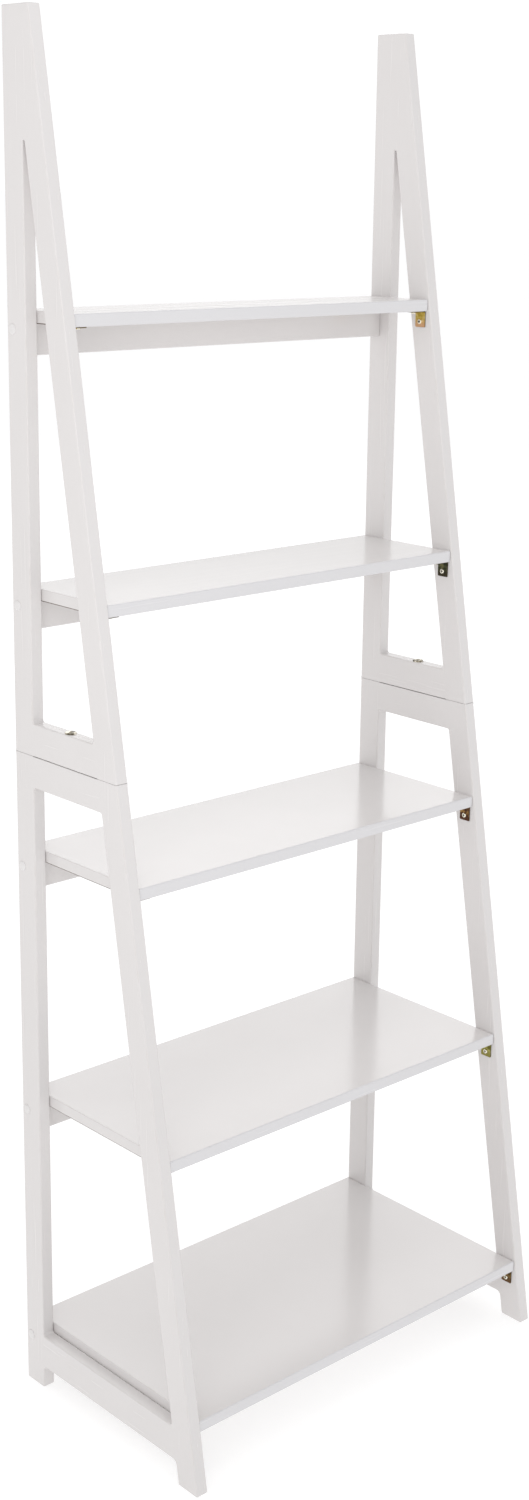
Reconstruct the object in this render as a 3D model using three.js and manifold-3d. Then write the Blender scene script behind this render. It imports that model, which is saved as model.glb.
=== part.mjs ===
// A white painted ladder shelf: five boards between two A-shaped side frames.
//
// Each side frame is an upper half standing on a lower half. In both halves the rear stile is upright and
// the front stile leans back, so the boards get deeper towards the floor. A rail under the rear of each
// board is bolted between the rear stiles, and a metal angle under each front corner carries the board.
//
// Millimetres. X runs across the shelf, Y from the front to the rear, Z up from the floor. The origin is
// on the floor, in the middle of the shelf's width and depth. Along a side frame, places are given as a
// depth, measured forward from the rear face, and a height.

import * as THREE from "three";
import { mergeVertices } from "three/addons/utils/BufferGeometryUtils.js";
import Module from "manifold-3d";

const wasm = await Module();
wasm.setup();

// Overall size.
const HEIGHT = 1829;
const WIDTH = 648; // between the outer faces of the side frames
const FLOOR_DEPTH = 368;
const TOP_DEPTH = 53;

// Side frames.
const MEMBER_THICKNESS = 18; // across X
const STILE_DEPTH = 38; // measured level, at any height
const RAIL_HEIGHT = 39.5;
const FOOT_HEIGHT = 38; // the lower edge of the bottom rail
const SEAM_HEIGHT = 917; // where the upper half stands on the lower one
const SEAM_GAP = 0.3;
const RAIL_RELIEF = 0.5; // the rails stay this far back from the seam, so the stiles carry the weight
const CORNER_FILLET = 4; // inside corners of the openings
const FOOT_FILLET = 7; // inside corners between the feet
const NOTCH_FILLET = 1.9; // the narrow top of the upper opening
const ARRIS_CORNER = 2; // outside corners of a frame
const EDGE_ROUND = 1.5;
const JOINT_GAP = 0.3; // glue line between two members

// Boards and rear rails, from the top board down.
const BOARD_TOPS = [1476.5, 1132.5, 785, 437.5, 94.5];
const BOARD_THICKNESS = 16;
const BOARD_SETBACK = 1.5; // the board's front edge behind the front stiles' edge
const BOARD_END_GAP = 0.5;
const BOARD_ROUND = 1.6;
const REAR_RAIL_THICKNESS = 18;
const REAR_RAIL_INSET = 2; // from the rear face of the stiles

// Bolts through the rear stiles into the rear rails, with a plastic cap over each head.
const BOLT_DROP = 23; // below the top of the board
const BOLT_RADIUS = 3;
const BOLT_LENGTH = 50;
const BOLT_HEAD_RADIUS = 5;
const BOLT_HEAD_HEIGHT = 3.5;
const BOLT_SOCKET_RADIUS = 2.2;
const BOLT_SOCKET_DEPTH = 2;
const BOLT_TIP_TAPER = 1; // how much narrower every bolt is at its tip
const BOLT_TIP_LENGTH = 1.5;
const BOLT_CLEARANCE = 0.3;
const HOLE_SPARE = 3; // a bolt's blind hole runs this far past its tip
const COUNTERBORE_RADIUS = 5.5;
const COUNTERBORE_DEPTH = 7;
const CAP_RADIUS = 6.5;
const CAP_RISE = 1.8;
const CAP_RIM = 0.7; // straight edge of the cap, below its sloping shoulder
const CAP_SHOULDER = 2;
const CAP_PLUG_RADIUS = 5;
const CAP_PLUG_LENGTH = 3;

// Metal angles under the front corners of the boards.
const ANGLE_LEG = 22;
const ANGLE_WIDTH = 18;
const ANGLE_THICKNESS = 1.5;
const ANGLE_BEND = 2.5; // outside radius of the bend
const ANGLE_SETBACK = 4; // behind the board's front edge
const ANGLE_HOLE_RADIUS = 2.3;
const ANGLE_HOLE_REACH = 14.5; // from the corner to the screw hole
const PILOT_RADIUS = 1.5;
const PILOT_DEPTH = 12;
const PILOT_SIDES = 10;

// Connector bolts that clamp the upper frame's bottom rail to the lower frame's top rail.
const SEAM_BOLT_DEPTH = 107; // depth of the bolt's axis
const SEAM_BOLT_RADIUS = 3;
const SEAM_BOLT_LENGTH = 62;
const SEAM_HEAD_RADIUS = 7.5;
const SEAM_HEAD_HEIGHT = 2;
const SEAM_HEAD_BEVEL = 1.5;
const SEAM_SOCKET_RADIUS = 2.3;
const SEAM_SOCKET_DEPTH = 1.4;
const SLEEVE_RADIUS = 4.2;
const SLEEVE_BORE_RADIUS = 3.3;
const SLEEVE_LENGTH = 34;
const SLEEVE_HOLE_RADIUS = 4.6;
const SLEEVE_HEAD_RADIUS = 6;
const SLEEVE_SEAT_RADIUS = 6.4; // recess for the sleeve's head, in the underside of the rail
const SLEEVE_HEAD_PROUD = 0.3; // below the underside of the rail

const SIDES = { left: -1, right: 1 };
const REAR_Y = FLOOR_DEPTH / 2;
const INNER_X = WIDTH / 2 - MEMBER_THICKNESS;
const LEAN = (FLOOR_DEPTH - TOP_DEPTH) / HEIGHT;
const LOWER_RAIL_TOP = SEAM_HEIGHT - RAIL_RELIEF;
const UPPER_RAIL_FOOT = SEAM_HEIGHT + RAIL_RELIEF;
const SLEEVE_SEAT = LOWER_RAIL_TOP - RAIL_HEIGHT + SEAM_HEAD_HEIGHT - SLEEVE_HEAD_PROUD;
const BOLT_DEPTH = REAR_RAIL_INSET + REAR_RAIL_THICKNESS / 2;
const BOLT_SEAT_X = WIDTH / 2 - COUNTERBORE_DEPTH;
const ROD_SIDES = 12;
const TURNED_SIDES = 16;
const REACH = 50; // how far a cutting block runs past what it cuts
const OVERSHOOT = 1; // how far a drilled hole's cutter starts outside the face it enters

const frontDepth = (height) => TOP_DEPTH + LEAN * (HEIGHT - height);
const innerDepth = (height) => frontDepth(height) - STILE_DEPTH;

const materials = {
  paint: { color: 0xf1f1ef, roughness: 0.38, metalness: 0 },
  zinc: { color: 0xc8a24c, roughness: 0.34, metalness: 1 },
  steel: { color: 0xb9bcc0, roughness: 0.3, metalness: 1 },
  plastic: { color: 0xf4f4f2, roughness: 0.45, metalness: 0 },
};

const shelf = new THREE.Group();
shelf.name = "ladder_shelf";

function addMesh(name, geometry, finish) {
  const mesh = new THREE.Mesh(geometry, new THREE.MeshStandardMaterial(materials[finish]));
  mesh.name = name;
  shelf.add(mesh);
}

// ---- solids ----

function toSolid(geometry) {
  const bare = geometry.index ? geometry.toNonIndexed() : geometry.clone();
  bare.deleteAttribute("normal");
  bare.deleteAttribute("uv");
  const merged = mergeVertices(bare, 1e-4);
  return new wasm.Manifold(
    new wasm.Mesh({
      numProp: 3,
      vertProperties: merged.attributes.position.array,
      triVerts: new Uint32Array(merged.index.array),
    }),
  );
}

function toGeometry(solid) {
  const mesh = solid.getMesh();
  const geometry = new THREE.BufferGeometry();
  geometry.setAttribute("position", new THREE.BufferAttribute(mesh.vertProperties, 3));
  geometry.setIndex(new THREE.BufferAttribute(mesh.triVerts, 1));
  geometry.computeVertexNormals();
  return geometry;
}

// A closed path through corners given as [x, y, radius], each corner rounded to its radius.
function roundedPath(corners, PathType) {
  const path = new PathType();
  corners.forEach(([x, y, radius], i) => {
    const here = new THREE.Vector2(x, y);
    const before = corners[(i + corners.length - 1) % corners.length];
    const after = corners[(i + 1) % corners.length];
    const back = new THREE.Vector2(before[0], before[1]).sub(here).normalize();
    const ahead = new THREE.Vector2(after[0], after[1]).sub(here).normalize();
    const turn = Math.acos(THREE.MathUtils.clamp(back.dot(ahead), -1, 1));
    const reach = radius / Math.tan(turn / 2);
    const start = here.clone().addScaledVector(back, reach);
    const end = here.clone().addScaledVector(ahead, reach);
    if (i === 0) {
      path.moveTo(start.x, start.y);
    } else {
      path.lineTo(start.x, start.y);
    }
    if (radius > 0) {
      const toCentre = back.clone().add(ahead).normalize();
      const centre = here.clone().addScaledVector(toCentre, radius / Math.sin(turn / 2));
      const from = Math.atan2(start.y - centre.y, start.x - centre.x);
      const to = Math.atan2(end.y - centre.y, end.x - centre.x);
      path.absarc(centre.x, centre.y, radius, from, to, back.cross(ahead) > 0);
    }
  });
  path.closePath();
  return path;
}

// Turns a shape drawn as depth and height, and extruded, into its place in the side plane.
function standInSidePlane(geometry) {
  const turn = new THREE.Matrix4().makeBasis(
    new THREE.Vector3(0, -1, 0),
    new THREE.Vector3(0, 0, 1),
    new THREE.Vector3(-1, 0, 0),
  );
  return geometry.applyMatrix4(turn).translate(0, REAR_Y, 0);
}

// An outline of depths and heights, extruded evenly to both sides of X = 0, with its edges rounded off.
function sidePanel(outline, openings, thickness, round) {
  const shape = roundedPath(outline, THREE.Shape);
  shape.holes = openings.map((opening) => roundedPath(opening, THREE.Path));
  const geometry = new THREE.ExtrudeGeometry(shape, {
    depth: thickness - 2 * round,
    curveSegments: 4,
    bevelEnabled: round > 0,
    bevelSegments: 2,
    bevelThickness: round,
    bevelSize: round,
    bevelOffset: -round,
  });
  geometry.translate(0, 0, round - thickness / 2);
  return toSolid(standInSidePlane(geometry));
}

// A block of the side plane, wide enough in X to cut right through a frame.
function sideBlock(corners) {
  const outline = corners.map(([depth, height]) => [depth, height, 0]);
  return sidePanel(outline, [], 4 * MEMBER_THICKNESS, 0);
}

// A rod along X whose axis is at the given depth and height.
function rodAlongX(radius, fromX, toX, depth, height, sides = ROD_SIDES) {
  const length = Math.abs(toX - fromX);
  const geometry = new THREE.CylinderGeometry(radius, radius, length, sides);
  geometry.rotateZ(Math.PI / 2);
  geometry.translate((fromX + toX) / 2, REAR_Y - depth, height);
  return toSolid(geometry);
}

// A rod along Z whose axis is at the given X and depth.
function rodAlongZ(radius, x, depth, fromHeight, toHeight, sides = ROD_SIDES) {
  const geometry = new THREE.CylinderGeometry(radius, radius, toHeight - fromHeight, sides);
  geometry.rotateX(Math.PI / 2);
  geometry.translate(x, REAR_Y - depth, (fromHeight + toHeight) / 2);
  return toSolid(geometry);
}

// ---- side frames ----

function upperFramePanel() {
  const foot = SEAM_HEIGHT + SEAM_GAP / 2;
  const railTop = UPPER_RAIL_FOOT + RAIL_HEIGHT;
  const meeting = HEIGHT - (2 * STILE_DEPTH - TOP_DEPTH) / LEAN;
  const outline = [
    [0, foot, ARRIS_CORNER],
    [STILE_DEPTH, foot, 0],
    [STILE_DEPTH, UPPER_RAIL_FOOT, 0],
    [innerDepth(UPPER_RAIL_FOOT), UPPER_RAIL_FOOT, 0],
    [innerDepth(foot), foot, 0],
    [frontDepth(foot), foot, ARRIS_CORNER],
    [TOP_DEPTH, HEIGHT, ARRIS_CORNER],
    [0, HEIGHT, ARRIS_CORNER],
  ];
  const opening = [
    [STILE_DEPTH, railTop, CORNER_FILLET],
    [innerDepth(railTop), railTop, CORNER_FILLET],
    [STILE_DEPTH, meeting, NOTCH_FILLET],
  ];
  return sidePanel(outline, [opening], MEMBER_THICKNESS, EDGE_ROUND);
}

function lowerFramePanel() {
  const head = SEAM_HEIGHT - SEAM_GAP / 2;
  const bottomRailTop = FOOT_HEIGHT + RAIL_HEIGHT;
  const topRailFoot = LOWER_RAIL_TOP - RAIL_HEIGHT;
  const outline = [
    [0, 0, ARRIS_CORNER],
    [STILE_DEPTH, 0, ARRIS_CORNER],
    [STILE_DEPTH, FOOT_HEIGHT, FOOT_FILLET],
    [innerDepth(FOOT_HEIGHT), FOOT_HEIGHT, FOOT_FILLET],
    [innerDepth(0), 0, ARRIS_CORNER],
    [FLOOR_DEPTH, 0, ARRIS_CORNER],
    [frontDepth(head), head, ARRIS_CORNER],
    [innerDepth(head), head, 0],
    [innerDepth(LOWER_RAIL_TOP), LOWER_RAIL_TOP, 0],
    [STILE_DEPTH, LOWER_RAIL_TOP, 0],
    [STILE_DEPTH, head, 0],
    [0, head, ARRIS_CORNER],
  ];
  const opening = [
    [STILE_DEPTH, bottomRailTop, CORNER_FILLET],
    [innerDepth(bottomRailTop), bottomRailTop, CORNER_FILLET],
    [innerDepth(topRailFoot), topRailFoot, CORNER_FILLET],
    [STILE_DEPTH, topRailFoot, CORNER_FILLET],
  ];
  return sidePanel(outline, [opening], MEMBER_THICKNESS, EDGE_ROUND);
}

// The part of a frame between the two stiles, from one height to another.
function railRegion(fromHeight, toHeight) {
  const rear = STILE_DEPTH + JOINT_GAP;
  return sideBlock([
    [rear, fromHeight],
    [innerDepth(fromHeight) - JOINT_GAP, fromHeight],
    [innerDepth(toHeight) - JOINT_GAP, toHeight],
    [rear, toHeight],
  ]);
}

const rearStileRegion = sideBlock([
  [-REACH, -REACH],
  [STILE_DEPTH, -REACH],
  [STILE_DEPTH, HEIGHT + REACH],
  [-REACH, HEIGHT + REACH],
]);

// Above the height where the stiles meet, the front stile is cut back to the rear stile's front edge.
function frontStileRegion() {
  const rear = STILE_DEPTH + JOINT_GAP;
  const meeting = HEIGHT - (rear + STILE_DEPTH - TOP_DEPTH) / LEAN;
  return sideBlock([
    [innerDepth(-REACH), -REACH],
    [FLOOR_DEPTH + REACH, -REACH],
    [FLOOR_DEPTH + REACH, HEIGHT + REACH],
    [rear, HEIGHT + REACH],
    [rear, meeting],
  ]);
}

function rearStileHoles(side) {
  const outer = (side * MEMBER_THICKNESS) / 2;
  const floor = outer - side * COUNTERBORE_DEPTH;
  return BOARD_TOPS.flatMap((top) => {
    const height = top - BOLT_DROP;
    return [
      rodAlongX(COUNTERBORE_RADIUS, outer + side * OVERSHOOT, floor, BOLT_DEPTH, height),
      rodAlongX(BOLT_RADIUS + BOLT_CLEARANCE, floor, -outer - side * OVERSHOOT, BOLT_DEPTH, height),
    ];
  });
}

const angleDepth = (top) => frontDepth(top) - BOARD_SETBACK - ANGLE_SETBACK - ANGLE_WIDTH / 2;

function frontStileHoles(side) {
  const inner = (-side * MEMBER_THICKNESS) / 2;
  const from = inner - side * OVERSHOOT;
  const to = inner + side * PILOT_DEPTH;
  return BOARD_TOPS.map((top) => {
    const height = top - BOARD_THICKNESS - ANGLE_HOLE_REACH;
    return rodAlongX(PILOT_RADIUS, from, to, angleDepth(top), height, PILOT_SIDES);
  });
}

function seamBoltHole(radius) {
  const half = 2 * RAIL_HEIGHT;
  return rodAlongZ(radius, 0, SEAM_BOLT_DEPTH, SEAM_HEIGHT - half, SEAM_HEIGHT + half);
}

function subtractAll(solid, tools) {
  return tools.reduce((left, tool) => left.subtract(tool), solid);
}

function addSideFrames() {
  const upper = upperFramePanel();
  const lower = lowerFramePanel();
  const front = frontStileRegion();
  const lowRails = railRegion(-REACH, SEAM_HEIGHT / 2);
  const midRails = railRegion(SEAM_HEIGHT / 2, SEAM_HEIGHT + 3 * RAIL_HEIGHT);
  const boltHole = seamBoltHole(SEAM_BOLT_RADIUS + BOLT_CLEARANCE);
  const sleeveHole = seamBoltHole(SLEEVE_HOLE_RADIUS);
  const sleeveSeat = rodAlongZ(SLEEVE_SEAT_RADIUS, 0, SEAM_BOLT_DEPTH, SLEEVE_SEAT - REACH, SLEEVE_SEAT);
  for (const [name, side] of Object.entries(SIDES)) {
    const members = {
      upper_rear_stile: subtractAll(upper.intersect(rearStileRegion), rearStileHoles(side)),
      upper_front_stile: subtractAll(upper.intersect(front), frontStileHoles(side)),
      upper_bottom_rail: upper.intersect(midRails).subtract(boltHole),
      lower_rear_stile: subtractAll(lower.intersect(rearStileRegion), rearStileHoles(side)),
      lower_front_stile: subtractAll(lower.intersect(front), frontStileHoles(side)),
      lower_top_rail: subtractAll(lower.intersect(midRails), [sleeveHole, sleeveSeat]),
      lower_bottom_rail: lower.intersect(lowRails),
    };
    const centreX = side * (INNER_X + MEMBER_THICKNESS / 2);
    for (const [member, solid] of Object.entries(members)) {
      addMesh(`${name}_${member}`, toGeometry(solid.translate([centreX, 0, 0])), "paint");
    }
  }
}

// ---- boards and rear rails ----

function addBoard(number, top) {
  const foot = top - BOARD_THICKNESS;
  const front = frontDepth(top) - BOARD_SETBACK;
  const length = 2 * (INNER_X - BOARD_END_GAP);
  const section = [
    [0, foot, BOARD_ROUND],
    [front, foot, BOARD_ROUND],
    [front, top, BOARD_ROUND],
    [0, top, BOARD_ROUND],
  ];
  const holes = Object.values(SIDES).map((side) => {
    const x = side * (INNER_X - ANGLE_HOLE_REACH);
    return rodAlongZ(PILOT_RADIUS, x, angleDepth(top), foot - OVERSHOOT, foot + PILOT_DEPTH, PILOT_SIDES);
  });
  const solid = subtractAll(sidePanel(section, [], length, 0), holes);
  addMesh(`shelf_board_${number}`, toGeometry(solid), "paint");
}

function addRearRail(number, top) {
  const head = top - BOARD_THICKNESS;
  const foot = head - RAIL_HEIGHT;
  const front = REAR_RAIL_INSET + REAR_RAIL_THICKNESS;
  const section = [
    [REAR_RAIL_INSET, foot, BOARD_ROUND],
    [front, foot, BOARD_ROUND],
    [front, head, 0],
    [REAR_RAIL_INSET, head, 0],
  ];
  const holeEnd = BOLT_SEAT_X - BOLT_LENGTH - HOLE_SPARE;
  const holes = Object.values(SIDES).map((side) => {
    const from = side * (INNER_X + OVERSHOOT);
    return rodAlongX(BOLT_RADIUS + BOLT_CLEARANCE, from, side * holeEnd, BOLT_DEPTH, top - BOLT_DROP);
  });
  const solid = subtractAll(sidePanel(section, [], 2 * INNER_X, 0), holes);
  addMesh(`rear_rail_${number}`, toGeometry(solid), "paint");
}

// ---- fasteners ----

// Profiles of turned pieces are pairs of radius and distance outwards from the face that the piece seats
// on. They run from the inner end outwards.
function turnedAlongX(profile, side, seatX, depth, height) {
  const points = profile.map(([radius, along]) => new THREE.Vector2(radius, along));
  const geometry = new THREE.LatheGeometry(points, TURNED_SIDES);
  geometry.rotateZ(-Math.PI / 2);
  if (side < 0) {
    geometry.rotateZ(Math.PI);
  }
  geometry.translate(side * seatX, REAR_Y - depth, height);
  return geometry;
}

const boltProfile = [
  [0, -BOLT_LENGTH],
  [BOLT_RADIUS - BOLT_TIP_TAPER, -BOLT_LENGTH],
  [BOLT_RADIUS, BOLT_TIP_LENGTH - BOLT_LENGTH],
  [BOLT_RADIUS, 0],
  [BOLT_HEAD_RADIUS, 0],
  [BOLT_HEAD_RADIUS, BOLT_HEAD_HEIGHT],
  [BOLT_SOCKET_RADIUS, BOLT_HEAD_HEIGHT],
  [BOLT_SOCKET_RADIUS, BOLT_HEAD_HEIGHT - BOLT_SOCKET_DEPTH],
  [0, BOLT_HEAD_HEIGHT - BOLT_SOCKET_DEPTH],
];

const capProfile = [
  [0, -CAP_PLUG_LENGTH],
  [CAP_PLUG_RADIUS, -CAP_PLUG_LENGTH],
  [CAP_PLUG_RADIUS, 0],
  [CAP_RADIUS, 0],
  [CAP_RADIUS, CAP_RIM],
  [CAP_RADIUS - CAP_SHOULDER, CAP_RISE],
  [0, CAP_RISE],
];

// An L of strip metal with a bent corner, its legs on the stile's inner face and under the board.
function addAngle(name, side, top) {
  const corners = [
    [0, 0, ANGLE_BEND],
    [ANGLE_LEG, 0, 0],
    [ANGLE_LEG, ANGLE_THICKNESS, 0],
    [ANGLE_THICKNESS, ANGLE_THICKNESS, ANGLE_BEND - ANGLE_THICKNESS],
    [ANGLE_THICKNESS, ANGLE_LEG, 0],
    [0, ANGLE_LEG, 0],
  ];
  const geometry = new THREE.ExtrudeGeometry(roundedPath(corners, THREE.Shape), {
    depth: ANGLE_WIDTH,
    curveSegments: 4,
    bevelEnabled: false,
  });
  // The shape's x axis runs inwards under the board, its y axis down the stile.
  const inward = new THREE.Vector3(-side, 0, 0);
  const down = new THREE.Vector3(0, 0, -1);
  geometry.applyMatrix4(new THREE.Matrix4().makeBasis(inward, down, inward.clone().cross(down)));
  const cornerX = side * INNER_X;
  const cornerZ = top - BOARD_THICKNESS;
  const depth = angleDepth(top);
  geometry.translate(cornerX, REAR_Y - depth + (side * ANGLE_WIDTH) / 2, cornerZ);
  const past = 2 * ANGLE_THICKNESS;
  const solid = subtractAll(toSolid(geometry), [
    rodAlongX(ANGLE_HOLE_RADIUS, cornerX + past, cornerX - past, depth, cornerZ - ANGLE_HOLE_REACH),
    rodAlongZ(ANGLE_HOLE_RADIUS, cornerX - side * ANGLE_HOLE_REACH, depth, cornerZ - past, cornerZ + past),
  ]);
  addMesh(name, toGeometry(solid), "zinc");
}

function turnedAlongZ(profile, x, depth, height) {
  const points = profile.map(([radius, along]) => new THREE.Vector2(radius, along));
  const geometry = new THREE.LatheGeometry(points, TURNED_SIDES);
  geometry.rotateX(Math.PI / 2);
  geometry.translate(x, REAR_Y - depth, height);
  return geometry;
}

// The bolt drops in from above, and its sleeve nut comes up from below. Both have a flat head, and the
// sleeve's head is let into the rail.
function addSeamConnector(name, side) {
  const x = side * (INNER_X + MEMBER_THICKNESS / 2);
  const boltSeat = UPPER_RAIL_FOOT + RAIL_HEIGHT;
  const bolt = [
    [0, -SEAM_BOLT_LENGTH],
    [SEAM_BOLT_RADIUS - BOLT_TIP_TAPER, -SEAM_BOLT_LENGTH],
    [SEAM_BOLT_RADIUS, BOLT_TIP_LENGTH - SEAM_BOLT_LENGTH],
    [SEAM_BOLT_RADIUS, 0],
    [SEAM_HEAD_RADIUS, 0],
    [SEAM_HEAD_RADIUS, SEAM_HEAD_HEIGHT / 2],
    [SEAM_HEAD_RADIUS - SEAM_HEAD_BEVEL, SEAM_HEAD_HEIGHT],
    [0, SEAM_HEAD_HEIGHT],
  ];
  const sleeve = [
    [0, -SEAM_HEAD_HEIGHT],
    [SLEEVE_HEAD_RADIUS - SEAM_HEAD_BEVEL, -SEAM_HEAD_HEIGHT],
    [SLEEVE_HEAD_RADIUS, -SEAM_HEAD_HEIGHT / 2],
    [SLEEVE_HEAD_RADIUS, 0],
    [SLEEVE_RADIUS, 0],
    [SLEEVE_RADIUS, SLEEVE_LENGTH],
    [SLEEVE_BORE_RADIUS, SLEEVE_LENGTH],
    [SLEEVE_BORE_RADIUS, SEAM_HEAD_HEIGHT],
    [0, SEAM_HEAD_HEIGHT],
  ];
  const hexSides = 6;
  const socket = (from, to) => rodAlongZ(SEAM_SOCKET_RADIUS, x, SEAM_BOLT_DEPTH, from, to, hexSides);
  const boltFace = boltSeat + SEAM_HEAD_HEIGHT;
  const nutFace = SLEEVE_SEAT - SEAM_HEAD_HEIGHT;
  const boltSolid = toSolid(turnedAlongZ(bolt, x, SEAM_BOLT_DEPTH, boltSeat));
  const nutSolid = toSolid(turnedAlongZ(sleeve, x, SEAM_BOLT_DEPTH, SLEEVE_SEAT));
  const boltSocket = socket(boltFace - SEAM_SOCKET_DEPTH, boltFace + OVERSHOOT);
  const nutSocket = socket(nutFace - OVERSHOOT, nutFace + SEAM_SOCKET_DEPTH);
  addMesh(`${name}_seam_bolt`, toGeometry(boltSolid.subtract(boltSocket)), "zinc");
  addMesh(`${name}_seam_nut`, toGeometry(nutSolid.subtract(nutSocket)), "zinc");
}

// ---- assembly ----

addSideFrames();
BOARD_TOPS.forEach((top, index) => {
  const number = index + 1;
  const boltHeight = top - BOLT_DROP;
  addBoard(number, top);
  addRearRail(number, top);
  for (const [name, side] of Object.entries(SIDES)) {
    const bolt = turnedAlongX(boltProfile, side, BOLT_SEAT_X, BOLT_DEPTH, boltHeight);
    const cap = turnedAlongX(capProfile, side, WIDTH / 2, BOLT_DEPTH, boltHeight);
    addAngle(`${name}_angle_${number}`, side, top);
    addMesh(`${name}_rail_bolt_${number}`, bolt, "steel");
    addMesh(`${name}_bolt_cap_${number}`, cap, "plastic");
  }
});
for (const [name, side] of Object.entries(SIDES)) {
  addSeamConnector(name, side);
}

export default shelf;
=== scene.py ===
# A white painted ladder shelf: two A-shaped side frames carry five boards that get deeper towards the
# floor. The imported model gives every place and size, and this script makes the finished surfaces.
# Metres. X runs across the shelf, Y from the front to the rear, Z up from the floor.

import math

import bmesh
import bpy
from mathutils import Matrix, Vector, geometry


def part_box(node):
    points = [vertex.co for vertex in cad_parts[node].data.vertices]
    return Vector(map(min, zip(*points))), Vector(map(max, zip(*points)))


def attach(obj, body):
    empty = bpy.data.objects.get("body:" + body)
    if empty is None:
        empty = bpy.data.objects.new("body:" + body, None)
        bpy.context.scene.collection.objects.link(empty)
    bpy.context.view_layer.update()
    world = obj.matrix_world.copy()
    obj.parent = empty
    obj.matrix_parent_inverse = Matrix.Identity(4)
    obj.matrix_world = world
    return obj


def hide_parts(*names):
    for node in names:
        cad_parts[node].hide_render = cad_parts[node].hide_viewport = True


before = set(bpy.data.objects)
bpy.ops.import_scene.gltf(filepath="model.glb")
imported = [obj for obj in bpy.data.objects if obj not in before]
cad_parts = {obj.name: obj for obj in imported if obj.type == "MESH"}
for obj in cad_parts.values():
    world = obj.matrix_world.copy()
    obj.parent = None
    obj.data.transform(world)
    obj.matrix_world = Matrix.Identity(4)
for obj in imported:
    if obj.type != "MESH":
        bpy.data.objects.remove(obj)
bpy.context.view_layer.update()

MM = 0.001
SIDES = {"left": -1, "right": 1}
BOARD_NUMBERS = range(1, 6)

# Finish of the woodwork.
EDGE_ROUND = 2.0 * MM  # long edges of the side frames
OUTER_CORNER = 2.2 * MM  # corners of a side frame's outline
INNER_CORNER = 4.0 * MM  # inside corners of its openings
FOOT_CORNER = 7.0 * MM  # inside corners between its feet
SEAM_CORNER = 0.8 * MM  # outline corners where the halves meet
SEAM_ROUND = 0.25  # share of the edge round that's left at the meeting of the halves
SEAM_EASE = 3.0 * MM  # height over which the edge round comes back to full size
NOTCH_CORNER = 1.9 * MM  # narrow top of the upper opening
BOARD_ROUND = 2.0 * MM
BOARD_END_ROUND = 1.2 * MM
BOARD_SETBACK = 1.5 * MM  # the board's front edge behind the front stiles' edge
ROUND_STEPS = 4
ARC_STEP = math.radians(10)
SHARP_ANGLE = math.radians(40)
ON_PLANE = 0.005 * MM  # a face this close to a cutting plane lies on it

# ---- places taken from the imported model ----


# The lowest and the highest corner of a node's box.
def spans(node):
    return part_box(node)


REAR_Y = spans("left_lower_rear_stile")[1].y
STILE_DEPTH = REAR_Y - spans("left_lower_rear_stile")[0].y
OUTER_X = spans("right_lower_front_stile")[1].x
INNER_X = spans("right_lower_front_stile")[0].x
HEIGHT = spans("left_upper_rear_stile")[1].z
LOWER_HEAD = spans("left_lower_rear_stile")[1].z
UPPER_FOOT = spans("left_upper_rear_stile")[0].z
BOTTOM_RAIL = (spans("left_lower_bottom_rail")[0].z, spans("left_lower_bottom_rail")[1].z)
LOWER_TOP_RAIL = (spans("left_lower_top_rail")[0].z, spans("left_lower_top_rail")[1].z)
UPPER_BOTTOM_RAIL = (spans("left_upper_bottom_rail")[0].z, spans("left_upper_bottom_rail")[1].z)

TOP_BOARD = spans("shelf_board_1")
LOW_BOARD = spans("shelf_board_5")
LEAN = (TOP_BOARD[0].y - LOW_BOARD[0].y) / (TOP_BOARD[1].z - LOW_BOARD[1].z)


def front_depth(height):
    low_front = REAR_Y - LOW_BOARD[0].y + BOARD_SETBACK
    return low_front - LEAN * (height - LOW_BOARD[1].z)


def inner_depth(height):
    return front_depth(height) - STILE_DEPTH


# ---- materials ----


def new_material(name):
    material = bpy.data.materials.new(name)
    material.use_nodes = True
    tree = material.node_tree
    return material, tree, tree.nodes["Principled BSDF"]


def add_node(tree, kind, **inputs):
    node = tree.nodes.new(kind)
    for socket, value in inputs.items():
        node.inputs[socket.replace("_", " ")].default_value = value
    return node


def noise(tree, vector, scale, detail=2.0, roughness=0.5):
    node = add_node(tree, "ShaderNodeTexNoise", Scale=scale, Detail=detail, Roughness=roughness)
    tree.links.new(vector, node.inputs["Vector"])
    return node.outputs["Fac"]


def stretched(tree, vector, scale):
    node = tree.nodes.new("ShaderNodeMapping")
    node.inputs["Scale"].default_value = scale
    tree.links.new(vector, node.inputs["Vector"])
    return node.outputs["Vector"]


def ramp(tree, factor, *stops):
    node = tree.nodes.new("ShaderNodeValToRGB")
    points = node.color_ramp.elements
    while len(points) < len(stops):
        points.new(0.5)
    for point, (place, colour) in zip(points, stops):
        point.position = place
        point.color = (*colour, 1.0)
    tree.links.new(factor, node.inputs["Fac"])
    return node.outputs["Color"]


def spread(tree, value, low, high, from_low=0.3, from_high=0.7):
    node = tree.nodes.new("ShaderNodeMapRange")
    node.inputs["From Min"].default_value = from_low
    node.inputs["From Max"].default_value = from_high
    node.inputs["To Min"].default_value = low
    node.inputs["To Max"].default_value = high
    tree.links.new(value, node.inputs["Value"])
    return node.outputs["Result"]


def multiply(tree, first, second):
    node = tree.nodes.new("ShaderNodeMath")
    node.operation = "MULTIPLY"
    tree.links.new(first, node.inputs[0])
    tree.links.new(second, node.inputs[1])
    return node.outputs["Value"]


# Mixes a socket's colour towards a fixed one.
def mix_colour(tree, factor, colour, fixed):
    node = tree.nodes.new("ShaderNodeMix")
    node.data_type = "RGBA"
    tree.links.new(factor, node.inputs["Factor"])
    tree.links.new(colour, node.inputs["A"])
    node.inputs["B"].default_value = (*fixed, 1.0)
    return node.outputs["Result"]


# How far a sharp edge's attribute is set, from 0 on a face to 1 on the edge.
def arris_fac(tree):
    node = tree.nodes.new("ShaderNodeAttribute")
    node.attribute_name = "arris"
    return node.outputs["Fac"]


def object_place(tree):
    return tree.nodes.new("ShaderNodeTexCoord").outputs["Object"]


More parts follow.
